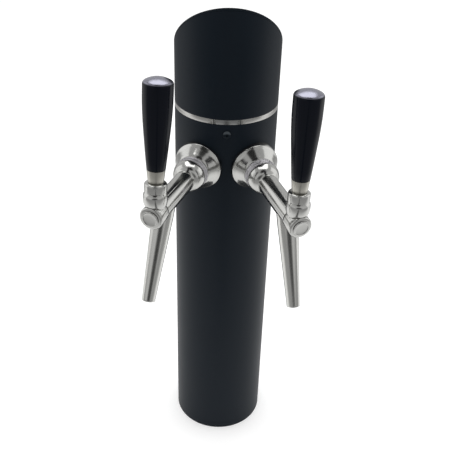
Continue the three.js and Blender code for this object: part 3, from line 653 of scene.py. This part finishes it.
ring = turned("coupling_nut", [
    (11.3, 16.3), (16.7, 16.3), (COUPLING_RADIUS, 17.2), (COUPLING_RADIUS, BELT_LOW),
    (COUPLING_RADIUS, BELT_HIGH), (COUPLING_RADIUS, 23.6), (17.3, 24), (15, 23.2), (14.9, 24),
    (14.3, 24), (14.3, 18.4), (11.3, 18.4),
], hollow=True, segments=2 * RIDGES, edge=0)
belt_middle = (BELT_LOW + BELT_HIGH) / 2 * MM
grooves = 0
for face in ring.data.polygons:
    middle = face.center
    on_side = abs(Vector(middle[:2]).length - COUPLING_RADIUS * MM) < NEAR
    on_belt = on_side and abs(middle.z - belt_middle) < NEAR
    step = round(math.atan2(middle.y, middle.x) / (math.pi / RIDGES) - 0.5)
    face.select = on_belt and step % 2 == 0
    grooves += face.select
bpy.ops.object.mode_set(mode="EDIT")
bpy.ops.mesh.select_mode(type="FACE")
bpy.ops.mesh.inset(thickness=GROOVE_RIM * MM, depth=-GROOVE_DEPTH * MM, use_individual=True)
bpy.ops.object.mode_set(mode="OBJECT")
smooth(ring)
print("knurl grooves:", grooves)
dress_taps(ring, "coupling_nut", "knurled_steel", TAP_AXIS)

# %% [markdown]
# The tap body is one casting: a wide rounded collar, a long tube, a bulb at the front and an
# upright boss for the bonnet. Collar, tube and bulb are one turned profile. A recess for the
# bonnet's foot is cut into the bulb's top, and the boss stands in it. Two bores are cut last,
# along the tube for the piston and from the top for the lever.

# %% Tap body
BODY_RADIUS, BODY_BORE = 11, 7
BODY_FRONT = 117.8
CAP_SEAT = 114.5
LEVER_BORE = 6.6
BONNET_CLEARANCE = 0.3
BONNET_SIDE = [(10.7, 9.1), (11.2, 10.8), (11.8, 13.3), (12, 16.1), (12, 19.2), (11.7, 21.4)]
UNDER_BALL = Matrix.Translation((PIVOT_STATION, 0, 0))

body = turned("faucet_body", [
    (9, 21), (14.1, 21), (14.1, 25), (16.9, 25), (17.6, 25.3), (17.8, 26), (17.7, 27.2),
    (17.1, 29.2), (16.3, 31.4), (15.3, 33.4), (14.1, 34.9), (12.7, 36.0), (11.6, 36.7),
    (BODY_RADIUS, 37.4), (BODY_RADIUS, 37.8), (BODY_RADIUS, 99.2), (BODY_RADIUS, 99.6),
    (11.35, 100.6), (11.95, 101.6), (12.1, 102.6), (12.1, 116), (11.7, 117.1), (11, 117.6),
    (10.2, BODY_FRONT), (7.9, BODY_FRONT), (7.9, CAP_SEAT), (BODY_BORE, CAP_SEAT),
    (BODY_BORE, 34), (4.6, 34), (4.6, 30), (9, 30),
], hollow=True, edge=0)
put(body, ALONG)
recess_side = [(radius + BONNET_CLEARANCE, height) for radius, height in BONNET_SIDE]
recess = turned("recess", [(11, 8.8), *recess_side], edge=0)
combine(body, put(recess, UNDER_BALL), "DIFFERENCE")
boss = turned("boss", [(10.2, 2), (10.2, 8.8), (9.3, 8.8), (9.3, 12.8)], edge=0)
combine(body, put(boss, UNDER_BALL), "UNION")
combine(body, put(rod(BODY_BORE, 35, 114.4), ALONG), "DIFFERENCE")
combine(body, put(rod(LEVER_BORE, 0, 20), UNDER_BALL), "DIFFERENCE")
break_edges(body, 0.3, angle=35)
dress_taps(body, "faucet_body", "polished", TAP)

# %% [markdown]
# A screwed cap closes the body's front. It is a thin disc with a shallow dish turned into its
# face, so its edge draws a bright ring with a second one inside.

# %% Front cap
cap = turned("front_cap", [
    (7.7, 114.8), (7.7, 118.1), (8.6, 118.1), (8.6, 118.8), (8.3, 119.2), (7.3, 119.3),
    (6.9, 119.1), (6.6, 118.9), (3.5, 118.75),
], edge=0.1)
dress_taps(cap, "front_cap", "polished", TAP_AXIS)

# %% [markdown]
# The spout is a long hollow cone that leans forward. Its top is cut to the round of the body, and
# its tip has a small round.

# %% Spout
SPOUT_ROOT = 85.8
SPOUT_SLANT = math.radians(27.5)
SPOUT_LENGTH = 100.8
SPOUT_BORE = 5
SPOUT_GAP = 0.25
TIP = -SPOUT_LENGTH
spout = turned("spout", [
    (SPOUT_BORE, TIP), (6.1, TIP), (6.7, TIP + 0.3), (6.9, TIP + 0.9), (6.95, TIP + 2),
    (8.6, -62), (10.1, -30), (11, -11), (11, 0), (SPOUT_BORE, 0),
], hollow=True, edge=0)
put(spout, Matrix.Translation((SPOUT_ROOT * MM, 0, 0)) @ Matrix.Rotation(-SPOUT_SLANT, 4, "Y"))
combine(spout, put(rod(BODY_RADIUS + SPOUT_GAP, 19, 129, segments=96), ALONG), "DIFFERENCE")
smooth(spout, angle=35)
dress_taps(spout, "spout", "spout_steel", TAP)
print("spout:", SPOUT_LENGTH, "mm long")

# %% [markdown]
# The bonnet nut holds the lever's ball down. Its side is a soft belly, and its top is a dome
# about the ball's centre, so that the collar above can slide round it. Heights are now counted
# from the ball's centre.

# %% Bonnet nut
LIFT = PIVOT_HEIGHT / MM
NECK_RADIUS, NECK_HEIGHT = 11.1, 7.7
DOME = math.hypot(NECK_RADIUS, NECK_HEIGHT)
THROAT_ANGLE = math.radians(34.1)
THROAT_RADIUS, THROAT_FOOT = 5.7, 5.7


def dome_rings(radius, start, end, steps):
    """Rings on a sphere about the origin, between two angles from upright."""
    angles = [start + (end - start) * step / steps for step in range(steps + 1)]
    return [(radius * math.sin(angle), radius * math.cos(angle)) for angle in angles]


bonnet = turned("bonnet_nut", [
    (9.5, 9.1 - LIFT), *[(radius, height - LIFT) for radius, height in BONNET_SIDE],
    *dome_rings(DOME, math.asin(NECK_RADIUS / DOME), THROAT_ANGLE, 6),
    (THROAT_RADIUS, THROAT_FOOT), (9.5, THROAT_FOOT),
], hollow=True, edge=0.15)
dress_taps(bonnet, "bonnet_nut", "polished", BONNET)

# %% [markdown]
# The lever moves with the handle. It is a rod with a ball and a small round finger at its foot,
# and nearly all of it is hidden inside the tap and the handle.

# %% Lever
BALL_RADIUS = 8
FINGER_RADIUS = 2.4
ball_rings = dome_rings(BALL_RADIUS, math.radians(160), math.radians(24), 12)
lever = turned("lever", [
    (2, -15.4), (2, -7.6), *ball_rings, (3.2, 56), (2.6, 56.6),
], segments=48, edge=0)
finger_rings = dome_rings(FINGER_RADIUS, math.radians(176), math.radians(4), 10)
finger = turned("finger", finger_rings, segments=48, edge=0)
combine(lever, put(finger, Matrix.Translation((0, 0, -PIVOT_HEIGHT))), "UNION")
smooth(lever)
dress_taps(lever, "lever", "satin_steel", HANDLE, "handle")

# %% [markdown]
# The collar rides on the lever. It is hollow below, to the dome's round, so it slides round the
# bonnet and keeps the throat covered.

# %% Lever collar
HOLLOW = DOME + 0.4
COLLAR_TOP = HOLLOW + 4.3
COLLAR_BORE = 3.4
hollow_rings = dome_rings(HOLLOW, math.asin(COLLAR_BORE / HOLLOW), math.asin(10.9 / HOLLOW), 8)
collar = turned("lever_collar", [
    *hollow_rings, (11.1, hollow_rings[-1][1] + 0.3), (11.1, COLLAR_TOP - 2.1),
    (10.95, COLLAR_TOP - 1.5), (10.5, COLLAR_TOP - 0.9), (9.7, COLLAR_TOP - 0.5),
    (8.8, COLLAR_TOP - 0.2), (7.8, COLLAR_TOP), (COLLAR_BORE, COLLAR_TOP),
], hollow=True, edge=0.1)
dress_taps(collar, "lever_collar", "polished", HANDLE, "handle")

# %% [markdown]
# The handle: a tapered metal ferrule under a gloss black grip that swells towards its top.

# %% Ferrule
HANDLE_GAP = 0.3
STEM_BORE = 3.5
FERRULE_START = COLLAR_TOP + HANDLE_GAP
FERRULE_END = FERRULE_START + 12.5
ferrule = turned("ferrule", [
    (STEM_BORE, FERRULE_START), (7.8, FERRULE_START), (9.1, FERRULE_END), (STEM_BORE, FERRULE_END),
], hollow=True, edge=0.3)
dress_taps(ferrule, "ferrule", "ferrule_steel", HANDLE, "handle")

# %% [markdown]
# The grip's side follows a few width readings between its foot and its top. Its upper edge is
# rolled over into a shallow dome without a crease, so the roll stops where it has the dome's slope.

# %% Grip
GRIP_START = FERRULE_END + HANDLE_GAP
GRIP_LENGTH = 88
GRIP_FOOT, GRIP_TOP, GRIP_ROUND = 9.2, 14.4, 4
STEM_DEPTH = 32
DOME_EDGE = math.radians(30)
CROWN = GRIP_TOP - GRIP_ROUND
GRIP_DOME = GRIP_ROUND + CROWN / math.sin(DOME_EDGE)
# each pair is a share of the side's height and the share of the swell reached there
WIDTHS = ((0, 0), (0.12, 0.19), (0.25, 0.38), (0.38, 0.56), (0.5, 0.72), (0.6, 0.84), (0.7, 0.93),
          (0.78, 0.98), (0.86, 1), (1, 1))

dome_centre = GRIP_START + GRIP_LENGTH - GRIP_DOME
shoulder = dome_centre + (GRIP_DOME - GRIP_ROUND) * math.cos(DOME_EDGE)
grip_rings = []
for share, width in WIDTHS:
    radius = GRIP_FOOT + width * (GRIP_TOP - GRIP_FOOT)
    grip_rings.append((radius, GRIP_START + share * (shoulder - GRIP_START)))
roll = dome_rings(GRIP_ROUND, QUARTER_TURN, DOME_EDGE, 6)[1:]
grip_rings += [(CROWN + out, shoulder + up) for out, up in roll]
dome = dome_rings(GRIP_DOME, DOME_EDGE, math.radians(2), 6)[1:]
grip_rings += [(out, dome_centre + up) for out, up in dome]
grip = turned("grip", grip_rings, edge=0.15, angle=35)
combine(grip, rod(STEM_BORE, 0, GRIP_START + STEM_DEPTH, segments=48), "DIFFERENCE")
smooth(grip)
dress_taps(grip, "grip", "black_gloss", HANDLE, "handle")
print("grip top at", round(GRIP_START + GRIP_LENGTH, 1), "mm above the ball")

# %% [markdown]
# The floor is plain and pale. It adds a light of its own to straight, mirrored and glass rays, so
# it reads white, also in the metal, while the tower still drops a soft shadow on it. Away from the
# tower a studio is darker, because few lamps stand there. The column and the grips mirror that
# part, which helps them to look black. So for mirrored rays the floor fades to grey with the
# distance in front of the tower and behind it, and more slowly to the sides. In front it also
# shows the dark foot of the camera's stand, with soft edges, which is the line down the middle of
# the round bright pieces.

# %% Floor
FLOOR_PALE = 0.8
FLOOR_GLOW = 0.28
BRIGHT_TO, GREY_FROM = 0.3, 1.0
GREY_LEVEL = 0.42
SIDE_SHARE = 0.4
STAND_HALF = 0.11
STAND_CORE = 0.3 * STAND_HALF
STAND_DARK = 0.15
STAND_FROM, STAND_TO = -0.4, -0.3

pick()
bpy.ops.mesh.primitive_plane_add(size=40)
floor = bpy.context.object
floor.name = floor.data.name = "floor"
floor_material, shader = new_material("pale_floor", [FLOOR_PALE] * 3, 0.0, 0.9)
shader.inputs["Specular IOR Level"].default_value = 0.0
shader.inputs["Emission Color"].default_value = (1, 1, 1, 1)
sums = Sums(floor_material.node_tree)
rays = sums.nodes.new("ShaderNodeLightPath").outputs
spot = sums.parts("Object")
aside = sums.of("ABSOLUTE", spot["X"])
away = sums.of("ADD", sums.of("MULTIPLY", aside, SIDE_SHARE), sums.of("ABSOLUTE", spot["Y"]))
faded = sums.graded(away, BRIGHT_TO, GREY_FROM, 1.0, GREY_LEVEL)
beside_stand = sums.graded(aside, STAND_CORE, STAND_HALF, STAND_DARK, 1.0)
behind_stand = sums.graded(spot["Y"], STAND_FROM, STAND_TO, 0.0, 1.0)
lit = sums.of("MULTIPLY", faded, sums.of("MAXIMUM", beside_stand, behind_stand))
mirrored = sums.of("MULTIPLY", rays["Is Glossy Ray"], lit)
direct = sums.of("MAXIMUM", rays["Is Camera Ray"], rays["Is Transmission Ray"])
glow = sums.of("MULTIPLY", sums.of("MAXIMUM", direct, mirrored), FLOOR_GLOW)
sums.links.new(glow, shader.inputs["Emission Strength"])
unmirrored = sums.of("SUBTRACT", 1.0, rays["Is Glossy Ray"])
pale = sums.of("MULTIPLY", sums.of("MAXIMUM", unmirrored, lit), FLOOR_PALE)
sums.links.new(pale, shader.inputs["Base Color"])
floor.data.materials.append(floor_material)
print("mirrored floor fades between", BRIGHT_TO, "and", GREY_FROM, "m from the column")

# %% [markdown]
# The world is a bright, even studio. Straight and glass rays see it white, and it lights the tower
# with a little less than white. Mirrored rays see the room: pale all round, a little greyer
# overhead, and dark in two directions. One is behind the camera, and gives the spouts their dark
# line. The other is a gap high up in front, and gives the flanges their dark patch.

# %% World
LIGHT_LEVEL = 0.9
ROOM_LEVEL = 0.75
FRONT_FROM, FRONT_TO, FRONT_DARK = -0.98, -0.82, 0.1
OVERHEAD_FROM, OVERHEAD_TO, OVERHEAD_LEVEL = 0.35, 0.95, 0.7
GAP_UP, GAP_FORWARD = 0.87, 0.5
GAP_FROM, GAP_TO, GAP_DARK = 0.945, 0.97, 0.05

world = bpy.data.worlds.new("studio")
bpy.context.scene.world = world
world.use_nodes = True
sums = Sums(world.node_tree)
rays = sums.nodes.new("ShaderNodeLightPath").outputs
way = sums.parts("Generated")
front = sums.graded(way["Y"], FRONT_FROM, FRONT_TO, FRONT_DARK, 1.0)
overhead = sums.graded(way["Z"], OVERHEAD_FROM, OVERHEAD_TO, 1.0, OVERHEAD_LEVEL)
gap_up = sums.of("MULTIPLY", way["Z"], GAP_UP)
gap_forward = sums.of("MULTIPLY", way["Y"], GAP_FORWARD)
gap = sums.graded(sums.of("SUBTRACT", gap_up, gap_forward), GAP_FROM, GAP_TO, 1.0, GAP_DARK)
room = sums.of("MULTIPLY", sums.of("MULTIPLY", front, gap), sums.of("MULTIPLY", overhead, ROOM_LEVEL))
mirrored = sums.of("MULTIPLY", room, rays["Is Glossy Ray"])
lighting = sums.of("SUBTRACT", LIGHT_LEVEL, rays["Is Glossy Ray"])
direct = sums.of("MAXIMUM", rays["Is Camera Ray"], rays["Is Transmission Ray"])
strength = sums.of("MAXIMUM", sums.of("MAXIMUM", lighting, direct), mirrored)
background = sums.nodes["Background"]
background.inputs["Color"].default_value = (1, 1, 1, 1)
sums.links.new(strength, background.inputs["Strength"])
print("world levels: light", LIGHT_LEVEL, "and mirrored room", ROOM_LEVEL)

# %% [markdown]
# Two tall soft boxes stand beside the tower and a little behind it. Their light grazes the black
# tube and lifts both its edges. A wide one hangs overhead, behind the tower, and is the highlight
# on the domes of the grips.

# %% Lights
CENTRE = (0, -0.05, 0.3)
SIDE_BOX_SIZE, SIDE_BOX_WATTS = (0.9, 1.6), 3
TOP_BOX_SIZE, TOP_BOX_WATTS = (1.4, 1.2), 12


def soft_box(name, place_at, size, power):
    """A lamp that faces the tower and doesn't show in the picture itself."""
    data = bpy.data.lights.new(name, "AREA")
    data.shape = "RECTANGLE"
    data.size, data.size_y = size
    data.energy = power
    lamp = bpy.data.objects.new(name, data)
    bpy.context.scene.collection.objects.link(lamp)
    lamp.location = place_at
    lamp.rotation_euler = (Vector(CENTRE) - Vector(place_at)).to_track_quat("-Z", "Y").to_euler()
    lamp.visible_camera = False


soft_box("left_box", (-1.1, 0.15, 0.5), SIDE_BOX_SIZE, SIDE_BOX_WATTS)
soft_box("right_box", (1.1, 0.15, 0.5), SIDE_BOX_SIZE, SIDE_BOX_WATTS)
soft_box("top_box", (0, 0.42, 1.75), TOP_BOX_SIZE, TOP_BOX_WATTS)

# %% [markdown]
# The last cell sets the colour view to Standard and hands the scene over.

# %% Finish
bpy.context.scene.view_settings.view_transform = "Standard"
